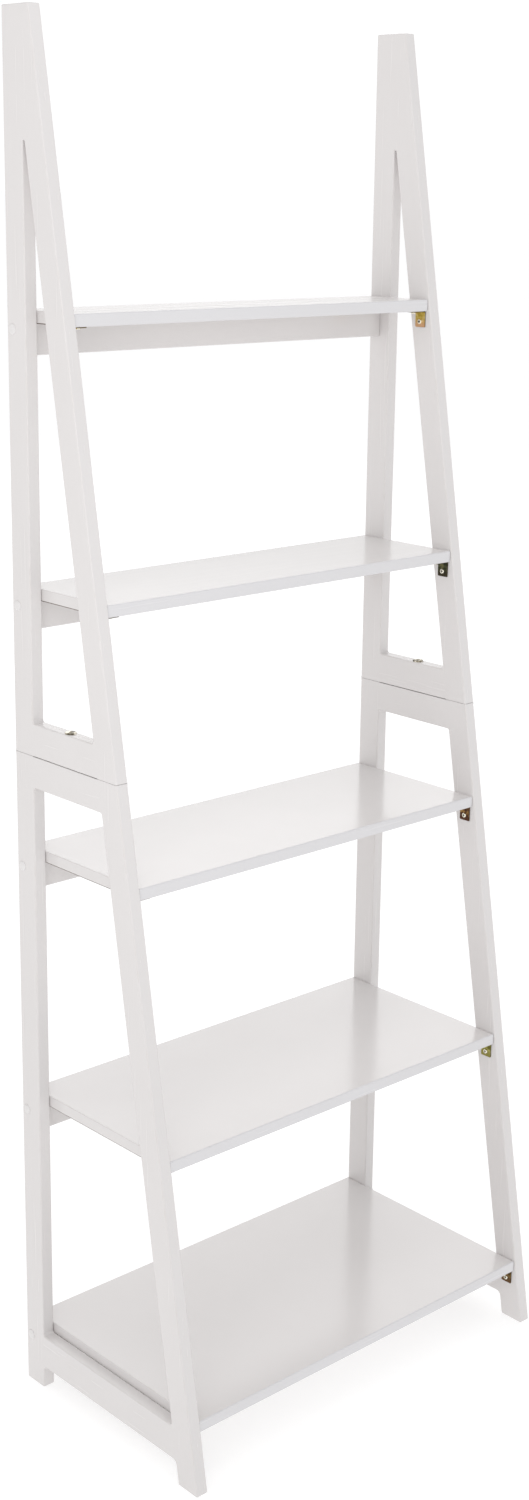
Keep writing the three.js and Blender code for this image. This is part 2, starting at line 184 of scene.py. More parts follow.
def bump(tree, height, strength, distance, before=None):
    node = add_node(tree, "ShaderNodeBump", Strength=strength, Distance=distance)
    tree.links.new(height, node.inputs["Height"])
    if before is not None:
        tree.links.new(before, node.inputs["Normal"])
    return node.outputs["Normal"]


FINE_RELIEF = 0.03 * MM
PEEL_STRENGTH = 0.05
WORN_TONE = (0.93, 0.915, 0.88)  # share of each channel that's left where the paint is thin
POLYMER_IOR = 1.5


# Satin paint: a faint lay of the brush along the member, fine orange peel, and thinner paint on edges.
def satin_paint(name, lay, light, dark, roughness=(0.22, 0.28), lay_depth=0.04, sheen=0.5):
    material, tree, shader = new_material(name)
    place = object_place(tree)
    cloud = noise(tree, place, scale=4.0, detail=4.0, roughness=0.6)
    body = ramp(tree, cloud, (0.3, dark), (0.7, light))
    patches = noise(tree, place, scale=38.0, detail=3.0, roughness=0.7)
    rubbed = spread(tree, patches, 0.0, 0.5, from_low=0.45, from_high=0.7)
    wear = multiply(tree, arris_fac(tree), rubbed)
    worn = tuple(channel * tone for channel, tone in zip(dark, WORN_TONE))
    colour = mix_colour(tree, wear, body, worn)
    streaks = noise(tree, stretched(tree, place, lay), scale=1.0, detail=3.0, roughness=0.6)
    peel = noise(tree, place, scale=300.0)
    gloss = spread(tree, streaks, *roughness)
    relief = bump(tree, streaks, lay_depth, FINE_RELIEF)
    relief = bump(tree, peel, PEEL_STRENGTH, FINE_RELIEF, relief)
    tree.links.new(colour, shader.inputs["Base Color"])
    tree.links.new(gloss, shader.inputs["Roughness"])
    tree.links.new(relief, shader.inputs["Normal"])
    shader.inputs["IOR"].default_value = POLYMER_IOR
    shader.inputs["Specular IOR Level"].default_value = sheen
    return material


ZINC_EDGE = (0.07, 0.045, 0.022)
ROLLING_LINES = (900.0, 40.0, 900.0)
ZINC_RELIEF = 0.05 * MM


# Yellow-passivated zinc: a film that drifts between three tones, and towards a fourth at the foot of the
# piece, with darker edges and fine rolling lines.
def yellow_zinc(name, shade, gold, rose, foot):
    material, tree, shader = new_material(name)
    coordinates = tree.nodes.new("ShaderNodeTexCoord")
    place = coordinates.outputs["Object"]
    drift = noise(tree, place, scale=130.0, detail=3.0, roughness=0.6)
    film = ramp(tree, drift, (0.38, shade), (0.5, gold), (0.62, rose))
    rise = tree.nodes.new("ShaderNodeSeparateXYZ")
    tree.links.new(coordinates.outputs["Generated"], rise.inputs["Vector"])
    near_foot = spread(tree, rise.outputs["Z"], 0.9, 0.0, from_low=0.15, from_high=0.55)
    film = mix_colour(tree, near_foot, film, foot)
    edge = spread(tree, arris_fac(tree), 0.0, 0.9, from_low=0.0, from_high=1.0)
    colour = mix_colour(tree, edge, film, ZINC_EDGE)
    rolled = noise(tree, stretched(tree, place, ROLLING_LINES), scale=1.0)
    tree.links.new(colour, shader.inputs["Base Color"])
    tree.links.new(spread(tree, rolled, 0.26, 0.42), shader.inputs["Roughness"])
    tree.links.new(bump(tree, rolled, 0.2, ZINC_RELIEF), shader.inputs["Normal"])
    shader.inputs["Metallic"].default_value = 1.0
    return material


SPANGLE_RELIEF = 0.04 * MM


def bright_steel(name, light, dark, roughness):
    material, tree, shader = new_material(name)
    spangle = noise(tree, object_place(tree), scale=320.0, detail=3.0, roughness=0.6)
    tree.links.new(ramp(tree, spangle, (0.35, dark), (0.65, light)), shader.inputs["Base Color"])
    tree.links.new(spread(tree, spangle, *roughness), shader.inputs["Roughness"])
    tree.links.new(bump(tree, spangle, 0.15, SPANGLE_RELIEF), shader.inputs["Normal"])
    shader.inputs["Metallic"].default_value = 1.0
    return material


CAP_DARK = (0.735, 0.716, 0.71)
CAP_LIGHT = (0.76, 0.743, 0.737)


def moulded_plastic():
    material, tree, shader = new_material("cap_plastic")
    place = object_place(tree)
    cloud = noise(tree, place, scale=60.0)
    grain = noise(tree, place, scale=1600.0)
    colour = ramp(tree, cloud, (0.3, CAP_DARK), (0.7, CAP_LIGHT))
    tree.links.new(colour, shader.inputs["Base Color"])
    tree.links.new(spread(tree, grain, 0.36, 0.46), shader.inputs["Roughness"])
    tree.links.new(bump(tree, grain, 0.15, FINE_RELIEF), shader.inputs["Normal"])
    shader.inputs["IOR"].default_value = POLYMER_IOR
    return material


ALONG_X = (6.0, 260.0, 260.0)
ALONG_Y = (260.0, 6.0, 260.0)
ALONG_Z = (260.0, 260.0, 6.0)
PAINT_LIGHT = (0.735, 0.710, 0.703)
PAINT_DARK = (0.713, 0.688, 0.680)
# A slightly darker, cooler copy of the white paint, used on the boards' front edges.
EDGE_LIGHT = (0.712, 0.701, 0.712)
EDGE_DARK = (0.692, 0.681, 0.692)
# Dark browns for the strip along the foot of each board end. This is painted shade, not a colour of the
# board.
END_SHADE_LIGHT = (0.13, 0.09, 0.065)
END_SHADE_DARK = (0.07, 0.048, 0.035)
stile_paint = satin_paint("stile_paint", ALONG_Z, PAINT_LIGHT, PAINT_DARK)
rail_paint = satin_paint("rail_paint", ALONG_Y, PAINT_LIGHT, PAINT_DARK)
board_paint = satin_paint(
    "board_paint", ALONG_X, PAINT_LIGHT, PAINT_DARK, roughness=(0.16, 0.20), lay_depth=0.0
)
board_front_edge_tone = satin_paint("board_front_edge_tone", ALONG_X, EDGE_LIGHT, EDGE_DARK)
# Painted shade for the dark line under each board end.
painted_end_shade = satin_paint("painted_end_shade", ALONG_Y, END_SHADE_LIGHT, END_SHADE_DARK, roughness=(0.6, 0.7))
top_board_paint = satin_paint(
    "top_board_paint", ALONG_X, PAINT_LIGHT, PAINT_DARK, roughness=(0.24, 0.30), lay_depth=0.0, sheen=0.15
)

# Tones of the plating, from the top pair of angles down: shade, gold, rose and foot. The hue changes from
# pair to pair, as chromate film does. The dark tones of the lower pairs are partly that film and partly
# painted reflection of dark surroundings.
ZINC_TONES = [
    ((0.46, 0.33, 0.06), (0.62, 0.47, 0.11), (0.70, 0.54, 0.24), (0.66, 0.38, 0.22)),
    ((0.022, 0.024, 0.014), (0.075, 0.078, 0.040), (0.15, 0.14, 0.065), (0.045, 0.036, 0.022)),
    ((0.045, 0.022, 0.012), (0.115, 0.052, 0.026), (0.32, 0.19, 0.06), (0.085, 0.036, 0.020)),
    ((0.12, 0.11, 0.025), (0.30, 0.29, 0.08), (0.44, 0.40, 0.14), (0.24, 0.21, 0.06)),
    ((0.07, 0.042, 0.018), (0.19, 0.12, 0.045), (0.33, 0.22, 0.09), (0.13, 0.072, 0.035)),
]
zinc_films_and_dark_reflection = [yellow_zinc(f"zinc_{i}", *tones) for i, tones in enumerate(ZINC_TONES, 1)]
# Tones of the connectors' dull plating, with a foot tone. The near-white third tone is painted glint.
CONNECTOR_TONES_AND_GLINTS = ((0.08, 0.07, 0.05), (0.32, 0.285, 0.21), (0.95, 0.90, 0.78), (0.20, 0.17, 0.12))

connector_zinc_and_glints = yellow_zinc("connector_zinc_and_glints", *CONNECTOR_TONES_AND_GLINTS)
screw_steel = bright_steel("screw_steel", (0.98, 0.95, 0.84), (0.80, 0.75, 0.60), (0.16, 0.26))
# Near-black steel for the screws' cross recesses: painted shade of the recess.
recess_painted_shade = bright_steel("recess_painted_shade", (0.10, 0.075, 0.05), (0.04, 0.03, 0.02), (0.4, 0.5))
bolt_steel = bright_steel("bolt_steel", (0.66, 0.67, 0.68), (0.50, 0.51, 0.52), (0.25, 0.38))
plastic = moulded_plastic()

# ---- mesh helpers ----


# Keeps joints between faces crisp where they turn sharply, and puts the mesh in the scene.
def add_piece(name, bm, materials, slot, *replaced):
    bmesh.ops.recalc_face_normals(bm, faces=bm.faces)
    for face in bm.faces:
        face.smooth = True
    for edge in bm.edges:
        edge.smooth = edge.calc_face_angle(0.0) < SHARP_ANGLE
    mesh = bpy.data.meshes.new(name)
    bm.to_mesh(mesh)
    bm.free()
    for material in materials:
        mesh.materials.append(material)
    piece = bpy.data.objects.new(name, mesh)
    bpy.context.scene.collection.objects.link(piece)
    even = piece.modifiers.new("even_shading", "WEIGHTED_NORMAL")
    even.keep_sharp = True
    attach(piece, "root")
    if replaced:
        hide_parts(*replaced)
    return piece


# Points of a closed outline, from corners given as (depth, height, radius).
def rounded_outline(corners):
    points = []
    for i, (depth, height, radius) in enumerate(corners):
        here = Vector((depth, height))
        if radius == 0:
            points.append(here)
            continue
        back = (Vector(corners[i - 1][:2]) - here).normalized()
        ahead = (Vector(corners[(i + 1) % len(corners)][:2]) - here).normalized()
        half = back.angle(ahead) / 2
        centre = here + (back + ahead).normalized() * radius / math.sin(half)
        start = here + back * radius / math.tan(half) - centre
        end = here + ahead * radius / math.tan(half) - centre
        sweep = math.copysign(math.pi - 2 * half, start.x * end.y - start.y * end.x)
        steps = max(2, math.ceil(abs(sweep) / ARC_STEP))
        for step in range(steps + 1):
            angle = sweep * step / steps
            points.append(centre + Matrix.Rotation(angle, 2) @ start)
    return points


def turning(points):
    return sum(a.x * b.y - b.x * a.y for a, b in zip(points, points[1:] + points[:1]))


# How far each point of an outline moves, for each unit that the outline shrinks into the material.
def inward_moves(points):
    moves = []
    for i, here in enumerate(points):
        before = (here - points[i - 1]).normalized()
        after = (points[(i + 1) % len(points)] - here).normalized()
        left = Vector((-before.y, before.x))
        right = Vector((-after.y, after.x))
        moves.append((left + right) / (1 + left.dot(right)))
    return moves


def in_side_plane(x, point):
    return Vector((x, REAR_Y - point.x, point.y))


# The rim's round at its full size, whatever the height.
def whole_share(height):
    return 1.0


# An outline of depths and heights, extruded from one X to another, with its rims rounded off. The share
# says how much of the round is left at a height. A drilled hole is (depth, height, [(radius, x), ...]),
# from the face at from_x to the face at to_x.
def extrude_across(outline, openings, from_x, to_x, rim, drilled=(), share=whole_share):
    bm = bmesh.new()
    arris = bm.verts.layers.float.new("arris")
    rows = []
    for step in range(ROUND_STEPS + 1):
        angle = math.pi / 2 * step / ROUND_STEPS
        rows.append((rim * (1 - math.sin(angle)), rim * (1 - math.cos(angle)), math.sin(2 * angle)))
    reach = math.copysign(1, to_x - from_x)
    face_x = lambda x: from_x if abs(x - from_x) < abs(x - to_x) else to_x
    levels = [(inset, from_x + reach * drop, wear) for inset, drop, wear in rows]
    levels += [(inset, to_x - reach * drop, wear) for inset, drop, wear in reversed(rows)]
    near_rings = []
    far_rings = []
    for ring_number, corners in enumerate([outline, *openings]):
        points = rounded_outline(corners)
        if (turning(points) > 0) != (ring_number == 0):
            points.reverse()
        moves = inward_moves(points)
        ladder = []
        for inset, x, wear in levels:
            ring = []
            for point, move in zip(points, moves):
                part = share(point.y)
                eased_x = face_x(x) + (x - face_x(x)) * part
                vert = bm.verts.new(in_side_plane(eased_x, point + move * inset * part))
                vert[arris] = wear * part
                ring.append(vert)
            ladder.append(ring)
        bridge(bm, ladder)
        near_rings.append(ladder[0])
        far_rings.append(ladder[-1])
    for depth, height, levels_of_hole in drilled:
        ladder = [circle(bm, depth, height, radius, x) for radius, x in levels_of_hole]
        bridge(bm, ladder)
        near_rings.append(ladder[0])
        far_rings.append(ladder[-1])
    for rings in (near_rings, far_rings):
        loops = [[vert.co for vert in ring] for ring in rings]
        verts = [vert for ring in rings for vert in ring]
        for corner in geometry.tessellate_polygon(loops):
            bm.faces.new([verts[i] for i in corner])
    return bm


HOLE_SIDES = 40


def circle(bm, depth, height, radius, x):
    ring = []
    for i in range(HOLE_SIDES):
        angle = math.tau * i / HOLE_SIDES
        point = Vector((depth + radius * math.cos(angle), height + radius * math.sin(angle)))
        ring.append(bm.verts.new(in_side_plane(x, point)))
    return ring


def bridge(bm, ladder):
    for below, above in zip(ladder, ladder[1:]):
        for i in range(len(below)):
            bm.faces.new((below[i - 1], below[i], above[i], above[i - 1]))


# ---- side frames ----

BOLT_DEPTH = REAR_Y - (spans("left_rail_bolt_1")[0].y + spans("left_rail_bolt_1")[1].y) / 2
COUNTERBORE_DEPTH = 7.0 * MM
COUNTERBORE_RADIUS = 5.5 * MM
HEAD_SEAT_X = OUTER_X - COUNTERBORE_DEPTH
BOLT_HOLE_RADIUS = 3.3 * MM


def bolt_height(number):
    low, high = spans(f"left_rail_bolt_{number}")
    return (low.z + high.z) / 2


def bolt_holes(low, high):
    holes = []
    for number in BOARD_NUMBERS:
        height = bolt_height(number)
        if low < height < high:
            steps = [
                (BOLT_HOLE_RADIUS, INNER_X),
                (BOLT_HOLE_RADIUS, HEAD_SEAT_X),
                (COUNTERBORE_RADIUS, HEAD_SEAT_X),
                (COUNTERBORE_RADIUS, OUTER_X),
            ]
            holes.append((BOLT_DEPTH, height, steps))
    return holes


def upper_outline():
    rail_foot, rail_top = UPPER_BOTTOM_RAIL
    meeting = LOW_BOARD[1].z + (front_depth(LOW_BOARD[1].z) - 2 * STILE_DEPTH) / LEAN
    eased = UPPER_FOOT + SEAM_EASE
    outline = [
        (0, eased, 0),
        (0, UPPER_FOOT, SEAM_CORNER),
        (STILE_DEPTH, UPPER_FOOT, 0),
        (STILE_DEPTH, rail_foot, 0),
        (inner_depth(rail_foot), rail_foot, 0),
        (inner_depth(UPPER_FOOT), UPPER_FOOT, 0),
        (front_depth(UPPER_FOOT), UPPER_FOOT, SEAM_CORNER),
        (front_depth(eased), eased, 0),
        (front_depth(HEIGHT), HEIGHT, OUTER_CORNER),
        (0, HEIGHT, OUTER_CORNER),
    ]
    opening = [
        (STILE_DEPTH, rail_top, INNER_CORNER),
        (inner_depth(rail_top), rail_top, INNER_CORNER),
        (STILE_DEPTH, meeting, NOTCH_CORNER),
    ]
    return outline, opening


def lower_outline():
    eased = LOWER_HEAD - SEAM_EASE
    outline = [
        (0, 0, OUTER_CORNER),
        (STILE_DEPTH, 0, OUTER_CORNER),
        (STILE_DEPTH, BOTTOM_RAIL[0], FOOT_CORNER),
        (inner_depth(BOTTOM_RAIL[0]), BOTTOM_RAIL[0], FOOT_CORNER),
        (inner_depth(0), 0, OUTER_CORNER),
        (front_depth(0), 0, OUTER_CORNER),
        (front_depth(eased), eased, 0),
        (front_depth(LOWER_HEAD), LOWER_HEAD, SEAM_CORNER),
        (inner_depth(LOWER_HEAD), LOWER_HEAD, 0),
        (inner_depth(LOWER_TOP_RAIL[1]), LOWER_TOP_RAIL[1], 0),
        (STILE_DEPTH, LOWER_TOP_RAIL[1], 0),
        (STILE_DEPTH, LOWER_HEAD, 0),
        (0, LOWER_HEAD, SEAM_CORNER),
        (0, eased, 0),
    ]
    opening = [
        (STILE_DEPTH, BOTTOM_RAIL[1], INNER_CORNER),
        (inner_depth(BOTTOM_RAIL[1]), BOTTOM_RAIL[1], INNER_CORNER),
        (inner_depth(LOWER_TOP_RAIL[0]), LOWER_TOP_RAIL[0], INNER_CORNER),
        (STILE_DEPTH, LOWER_TOP_RAIL[0], INNER_CORNER),
    ]
    return outline, opening


SCORE_SNAP = 0.0001 * MM  # a vertex this close to a cut is moved onto it


# Cuts a whole frame along the faces of its stiles, so that each member can be taken out by itself.
def score_frame(bm):
    rear_face = in_side_plane(0, Vector((STILE_DEPTH, 0)))
    front_face = in_side_plane(0, Vector((inner_depth(0), 0)))
    for point, normal in ((rear_face, Vector((0, 1, 0))), (front_face, Vector((0, 1, -LEAN)))):
        everything = [*bm.verts, *bm.edges, *bm.faces]
        bmesh.ops.bisect_plane(bm, geom=everything, dist=SCORE_SNAP, plane_co=point, plane_no=normal)


def take_member(frame_mesh, belongs):
    bm = frame_mesh.copy()
    strangers = []
    for face in bm.faces:
        middle = face.calc_center_median()
        if not belongs(REAR_Y - middle.y, middle.z):
            strangers.append(face)
    bmesh.ops.delete(bm, geom=strangers, context="FACES")
    rims = [edge for edge in bm.edges if edge.is_boundary]
    bmesh.ops.holes_fill(bm, edges=rims, sides=0)
    return bm


# The long edges are rounded less where the two halves meet.
def seam_share(height):
    from_seam = min(abs(height - UPPER_FOOT), abs(height - LOWER_HEAD))
    return SEAM_ROUND + (1 - SEAM_ROUND) * min(1, from_seam / SEAM_EASE)


def add_side_frame(name, side):
    from_x = side * INNER_X
    to_x = side * OUTER_X
    middle = (UPPER_FOOT + LOWER_HEAD) / 2
    halves = {
        "upper": (*upper_outline(), bolt_holes(middle, HEIGHT)),
        "lower": (*lower_outline(), bolt_holes(0, middle)),
    }
    in_rear = lambda depth, height: depth < STILE_DEPTH + ON_PLANE
    between = lambda depth, height: STILE_DEPTH + ON_PLANE < depth < inner_depth(height) - ON_PLANE
    low_half = middle / 2
    web_height = UPPER_BOTTOM_RAIL[1] + 3 * INNER_CORNER
    in_upper_rail = lambda depth, height: between(depth, height) and height < web_height
    members = {
        "upper_rear_stile": in_rear,
        "upper_bottom_rail": in_upper_rail,
        "upper_front_stile": lambda d, h: not in_rear(d, h) and not in_upper_rail(d, h),
        "lower_rear_stile": in_rear,
        "lower_top_rail": lambda d, h: between(d, h) and h > low_half,
        "lower_bottom_rail": lambda d, h: between(d, h) and h < low_half,
        "lower_front_stile": lambda d, h: not in_rear(d, h) and not between(d, h),
    }
    for half, (outline, opening, holes) in halves.items():
        mirrored = [(d, h, [(r, side * x) for r, x in steps]) for d, h, steps in holes]
        whole = extrude_across(outline, [opening], from_x, to_x, EDGE_ROUND, mirrored, seam_share)
        score_frame(whole)
        for member, belongs in members.items():
            if member.startswith(half):
                node = f"{name}_{member}"
                paint = rail_paint if member.endswith("rail") else stile_paint
                add_piece(f"painted_{node}", take_member(whole, belongs), [paint], "painted_wood", node)
        whole.free()


# ---- boards and rear rails ----


# The front edge gets a slightly darker, cooler tone than the top. A dark brown strip along the foot of
# each end is painted shade: the dark line under the end.
def add_board(number):
    node = f"shelf_board_{number}"
    low, high = spans(node)
    rear = REAR_Y - high.y
    front = REAR_Y - low.y
    corners = [(rear, low.z), (front, low.z), (front, high.z), (rear, high.z)]
    outline = [(depth, height, BOARD_ROUND) for depth, height in corners]
    bm = extrude_across(outline, [], low.x, high.x, BOARD_END_ROUND)
    for face in bm.faces:
        middle = face.calc_center_median()
        from_end = min(middle.x - low.x, high.x - middle.x)
        on_end_rim = 0 < from_end < BOARD_END_ROUND
        on_foot = middle.z < low.z + BOARD_END_ROUND and middle.y < high.y - BOARD_ROUND
        if middle.y < low.y + BOARD_ROUND:
            # The front edges get the darker, cooler tone.
            face.material_index = 1
        elif on_end_rim and on_foot:
            # Painted shade along the lower rim of each end.
            face.material_index = 2
    paints = [top_board_paint if number == 1 else board_paint, board_front_edge_tone, painted_end_shade]
    add_piece(f"painted_{node}", bm, paints, "painted_wood", node)


def add_rear_rail(number):
    node = f"rear_rail_{number}"
    low, high = spans(node)
    rear = REAR_Y - high.y
    front = REAR_Y - low.y
    outline = [
        (rear, low.z, BOARD_ROUND),
        (front, low.z, BOARD_ROUND),
        (front, high.z, BOARD_END_ROUND),
        (rear, high.z, BOARD_END_ROUND),
    ]
    bm = extrude_across(outline, [], low.x, high.x, BOARD_END_ROUND)
    add_piece(f"painted_{node}", bm, [board_paint], "painted_wood", node)


# ---- turned and stamped metal ----

TURNED_SIDES = 60


def round_ring(angle):
    return 1.0


# The radius of a hexagon with flats at distance 1.
def hex_ring(angle):
    sixth = math.tau / 6
    return 1 / math.cos((angle % sixth) - sixth / 2)


ARM_HALF_WIDTH = 0.3
LEAST_SINE = 1e-6


# The radius of a cross with arms of length 1.
def cross_ring(angle):
    quarter = math.tau / 4
    off_arm = abs((angle + quarter / 2) % quarter - quarter / 2)
    return min(1 / math.cos(off_arm), ARM_HALF_WIDTH / max(math.sin(off_arm), LEAST_SINE))


# A closed turned body along +Z, from (radius, height, ring shape) levels, with a flat face at each end.
def turned(levels, place):
    bm = bmesh.new()
    bm.verts.layers.float.new("arris")
    ladder = []
    for radius, height, shape in levels:
        ring = []
        for i in range(TURNED_SIDES):
            angle = math.tau * i / TURNED_SIDES
            reach = radius * shape(angle)
            ring.append(bm.verts.new((reach * math.cos(angle), reach * math.sin(angle), height)))
        ladder.append(ring)
    bridge(bm, ladder)
    bm.faces.new(ladder[0])
    bm.faces.new(ladder[-1])
    bm.transform(place)
    return bm


# Levels of a domed rim: from the edge up and inwards over a quarter of an ellipse.
def dome_levels(radius, foot, rise, to_radius, steps=6):
    levels = []
    for step in range(steps + 1):
        angle = math.pi / 2 * step / steps
        ring_radius = to_radius + (radius - to_radius) * math.cos(angle)
        levels.append((ring_radius, foot + rise * math.sin(angle), round_ring))
    return levels


def facing(direction, origin):
    return Matrix.Translation(origin) @ direction.to_track_quat("Z", "Y").to_matrix().to_4x4()


CAP_EDGE = 0.5 * MM
CAP_PLUG = 3.0 * MM
CAP_PLUG_RADIUS = 5.0 * MM


def add_cap(name, side, number):
    node = f"{name}_bolt_cap_{number}"
    low, high = spans(node)
    centre = (low + high) / 2
    radius = (high.z - low.z) / 2
    rise = max(abs(low.x), abs(high.x)) - OUTER_X
    levels = [
        (CAP_PLUG_RADIUS, -CAP_PLUG, round_ring),
        (CAP_PLUG_RADIUS, 0, round_ring),
        (radius, 0, round_ring),
    ]
    levels += dome_levels(radius, CAP_EDGE, rise - CAP_EDGE, radius / 4)
    place = facing(Vector((side, 0, 0)), Vector((side * OUTER_X, centre.y, centre.z)))
    add_piece(f"moulded_{node}", turned(levels, place), [plastic], "cap_plastic", node)


SOCKET_APOTHEM = 2.0 * MM
SOCKET_DEPTH = 1.4 * MM
SEAM_SHANK = 3.0 * MM
SLEEVE_SHANK = 4.2 * MM
HEAD_HEIGHT = 2.0 * MM
HEAD_BEVEL = 1.5 * MM
SOCKET_CHAMFER = 0.3 * MM
TIP_TAPER = 1.0 * MM
TIP_LENGTH = 1.5 * MM


# A flat connector head with a hexagonal socket, on its shank. The head's seat is at the origin.
def connector_levels(head_radius, shank_radius, shank_length):
    levels = [
        (shank_radius - TIP_TAPER, -shank_length, round_ring),
        (shank_radius, TIP_LENGTH - shank_length, round_ring),
        (shank_radius, 0, round_ring),
        (head_radius, 0, round_ring),
    ]
    levels += dome_levels(head_radius, HEAD_HEIGHT / 2, HEAD_HEIGHT / 2, head_radius - HEAD_BEVEL)
    levels += [
        (SOCKET_APOTHEM + SOCKET_CHAMFER, HEAD_HEIGHT, hex_ring),
        (SOCKET_APOTHEM, HEAD_HEIGHT - SOCKET_CHAMFER, hex_ring),
        (SOCKET_APOTHEM, HEAD_HEIGHT - SOCKET_DEPTH, hex_ring),
    ]
    return levels


# The bolt stands on the upper frame's rail. The nut's head is let into the underside of the lower one's.
def add_seam_connector(name):
    bolt = f"{name}_seam_bolt"
    low, high = spans(bolt)
    centre = (low + high) / 2
    radius = (high.x - low.x) / 2
    seat = UPPER_BOTTOM_RAIL[1]
    levels = connector_levels(radius, SEAM_SHANK, seat - low.z)
    place = facing(Vector((0, 0, 1)), Vector((centre.x, centre.y, seat)))
    add_piece(f"turned_{bolt}", turned(levels, place), [connector_zinc_and_glints], "yellow_zinc", bolt)
    nut = f"{name}_seam_nut"
    low, high = spans(nut)
    radius = (high.x - low.x) / 2
    seat = low.z + HEAD_HEIGHT
    levels = connector_levels(radius, SLEEVE_SHANK, high.z - seat)
    place = facing(Vector((0, 0, -1)), Vector((centre.x, centre.y, seat)))
    add_piece(f"turned_{nut}", turned(levels, place), [connector_zinc_and_glints], "yellow_zinc", nut)


SCREW_RADIUS = 3.6 * MM
SCREW_RISE = 2.0 * MM
SCREW_SHANK = 1.8 * MM
SCREW_LENGTH = 12.0 * MM
SCREW_EDGE = 0.5 * MM
POINT_RADIUS = 0.3 * MM
POINT_LENGTH = 3.0 * MM
CROSS_REACH = 2.2 * MM
CROSS_RIM = 1.15 * CROSS_REACH  # where the dome ends, round the recess
CROSS_FLOORS = [(1.0, 1.0), (0.8, 0.6), (0.35, 0.15)]  # shares of the reach and of the head's rise


# A pan-head screw with a cross recess. The recess is the last two bands and the last face, and gets
# near-black steel as painted shade.
def add_screw(name, origin, outwards):
    levels = [
        (POINT_RADIUS, -SCREW_LENGTH, round_ring),
        (SCREW_SHANK, -SCREW_LENGTH + POINT_LENGTH, round_ring),
        (SCREW_SHANK, 0, round_ring),
        (SCREW_RADIUS, 0, round_ring),
    ]
    levels += dome_levels(SCREW_RADIUS, SCREW_EDGE, SCREW_RISE - SCREW_EDGE, CROSS_RIM)
    levels += [(CROSS_REACH * reach, SCREW_RISE * rise, cross_ring) for reach, rise in CROSS_FLOORS]
    bm = turned(levels, facing(outwards, origin))
    faces = list(bm.faces)
    # The recess faces take the near-black steel, as painted shade.
    for face in [*faces[-2 - 2 * TURNED_SIDES : -2], faces[-1]]:
        face.material_index = 1
    add_piece(name, bm, [screw_steel, recess_painted_shade], "steel")


ANGLE_THICKNESS = 1.5 * MM
ANGLE_BEND = 2.5 * MM
ANGLE_CORNER = 1.4 * MM  # rounded corners at the ends of the legs
ANGLE_EDGE = 0.2 * MM
HOLE_FROM_CORNER = 14.5 * MM
BEND_STEPS = 8


# A bent strip with rounded corners and two screws. Each station along it is the leg that it's on, how far
# along that leg it is (or its angle round the bend), and how far from the strip's end.
def add_angle(name, side, number):
    node = f"{name}_angle_{number}"
    low, high = spans(node)
    leg = high.z - low.z
    half = (high.y - low.y) / 2
    middle_y = (high.y + low.y) / 2
    corner = Vector((side * INNER_X, middle_y, high.z))
    inward = Vector((-side, 0, 0))
    down = Vector((0, 0, -1))
    across = Vector((0, 1, 0))
    mid_bend = ANGLE_BEND - ANGLE_THICKNESS / 2
    straight = leg - ANGLE_BEND
    stations = []
    trims = [ANGLE_CORNER * share for share in (0.0, 0.05, 0.15, 0.35, 0.6, 1.0)]
    for along in trims:
        stations.append(("board", leg - along, along))
    stations.append(("board", ANGLE_BEND, straight))
    for step in range(1, BEND_STEPS):
        stations.append(("bend", math.pi / 2 * step / BEND_STEPS, straight))
    stations.append(("stile", ANGLE_BEND, straight))
    for along in reversed(trims):
        stations.append(("stile", leg - along, along))
    bm = bmesh.new()
    arris = bm.verts.layers.float.new("arris")
    flat = ANGLE_THICKNESS / 2
    ladder = []
    for kind, value, from_end in stations:
        if kind == "board":
            centre = corner + inward * value + down * flat
            outward = -down
        elif kind == "stile":
            centre = corner + down * value + inward * flat
            outward = -inward
        else:
            outward = -down * math.cos(value) - inward * math.sin(value)
            centre = corner + (inward + down) * ANGLE_BEND + outward * mid_bend
        short = max(0.0, ANGLE_CORNER - from_end)
        width = half - ANGLE_CORNER + math.sqrt(max(0.0, ANGLE_CORNER**2 - short**2))
        section = [
            (width - ANGLE_EDGE, flat, 0.0),
            (width, flat - ANGLE_EDGE, 1.0),
            (width, ANGLE_EDGE - flat, 1.0),
            (width - ANGLE_EDGE, -flat, 0.0),
            (ANGLE_EDGE - width, -flat, 0.0),
            (-width, ANGLE_EDGE - flat, 1.0),
            (-width, flat - ANGLE_EDGE, 1.0),
            (ANGLE_EDGE - width, flat, 0.0),
        ]
        ring = []
        for sideways, out, wear in section:
            vert = bm.verts.new(centre + across * sideways + outward * out)
            vert[arris] = wear if from_end > 0 else 1.0
            ring.append(vert)
        ladder.append(ring)
    bridge(bm, ladder)
    bm.faces.new(ladder[0])
    bm.faces.new(ladder[-1])
    # Each pair gets its own plating tones, darkened in part by painted reflection.
    add_piece(f"bent_{node}", bm, [zinc_films_and_dark_reflection[number - 1]], "yellow_zinc", node)
    under_board = corner + inward * HOLE_FROM_CORNER + down * ANGLE_THICKNESS
    on_stile = corner + down * HOLE_FROM_CORNER + inward * ANGLE_THICKNESS
    add_screw(f"{node}_board_screw", under_board, down)
    add_screw(f"{node}_stile_screw", on_stile, inward)


# ---- assembly ----

for name, side in SIDES.items():
    add_side_frame(name, side)
    add_seam_connector(name)
    for number in BOARD_NUMBERS:
        add_angle(name, side, number)
        add_cap(name, side, number)
        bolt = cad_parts[f"{name}_rail_bolt_{number}"]
        bolt.data.materials.clear()
        bolt.data.materials.append(bolt_steel)
for number in BOARD_NUMBERS:
    add_board(number)
    add_rear_rail(number)

# ---- studio ----


FLOOR_RADIUS = 300.0
FLOOR_TONE = (0.60, 0.60, 0.60, 1.0)
FLOOR_GLOW = 0.54


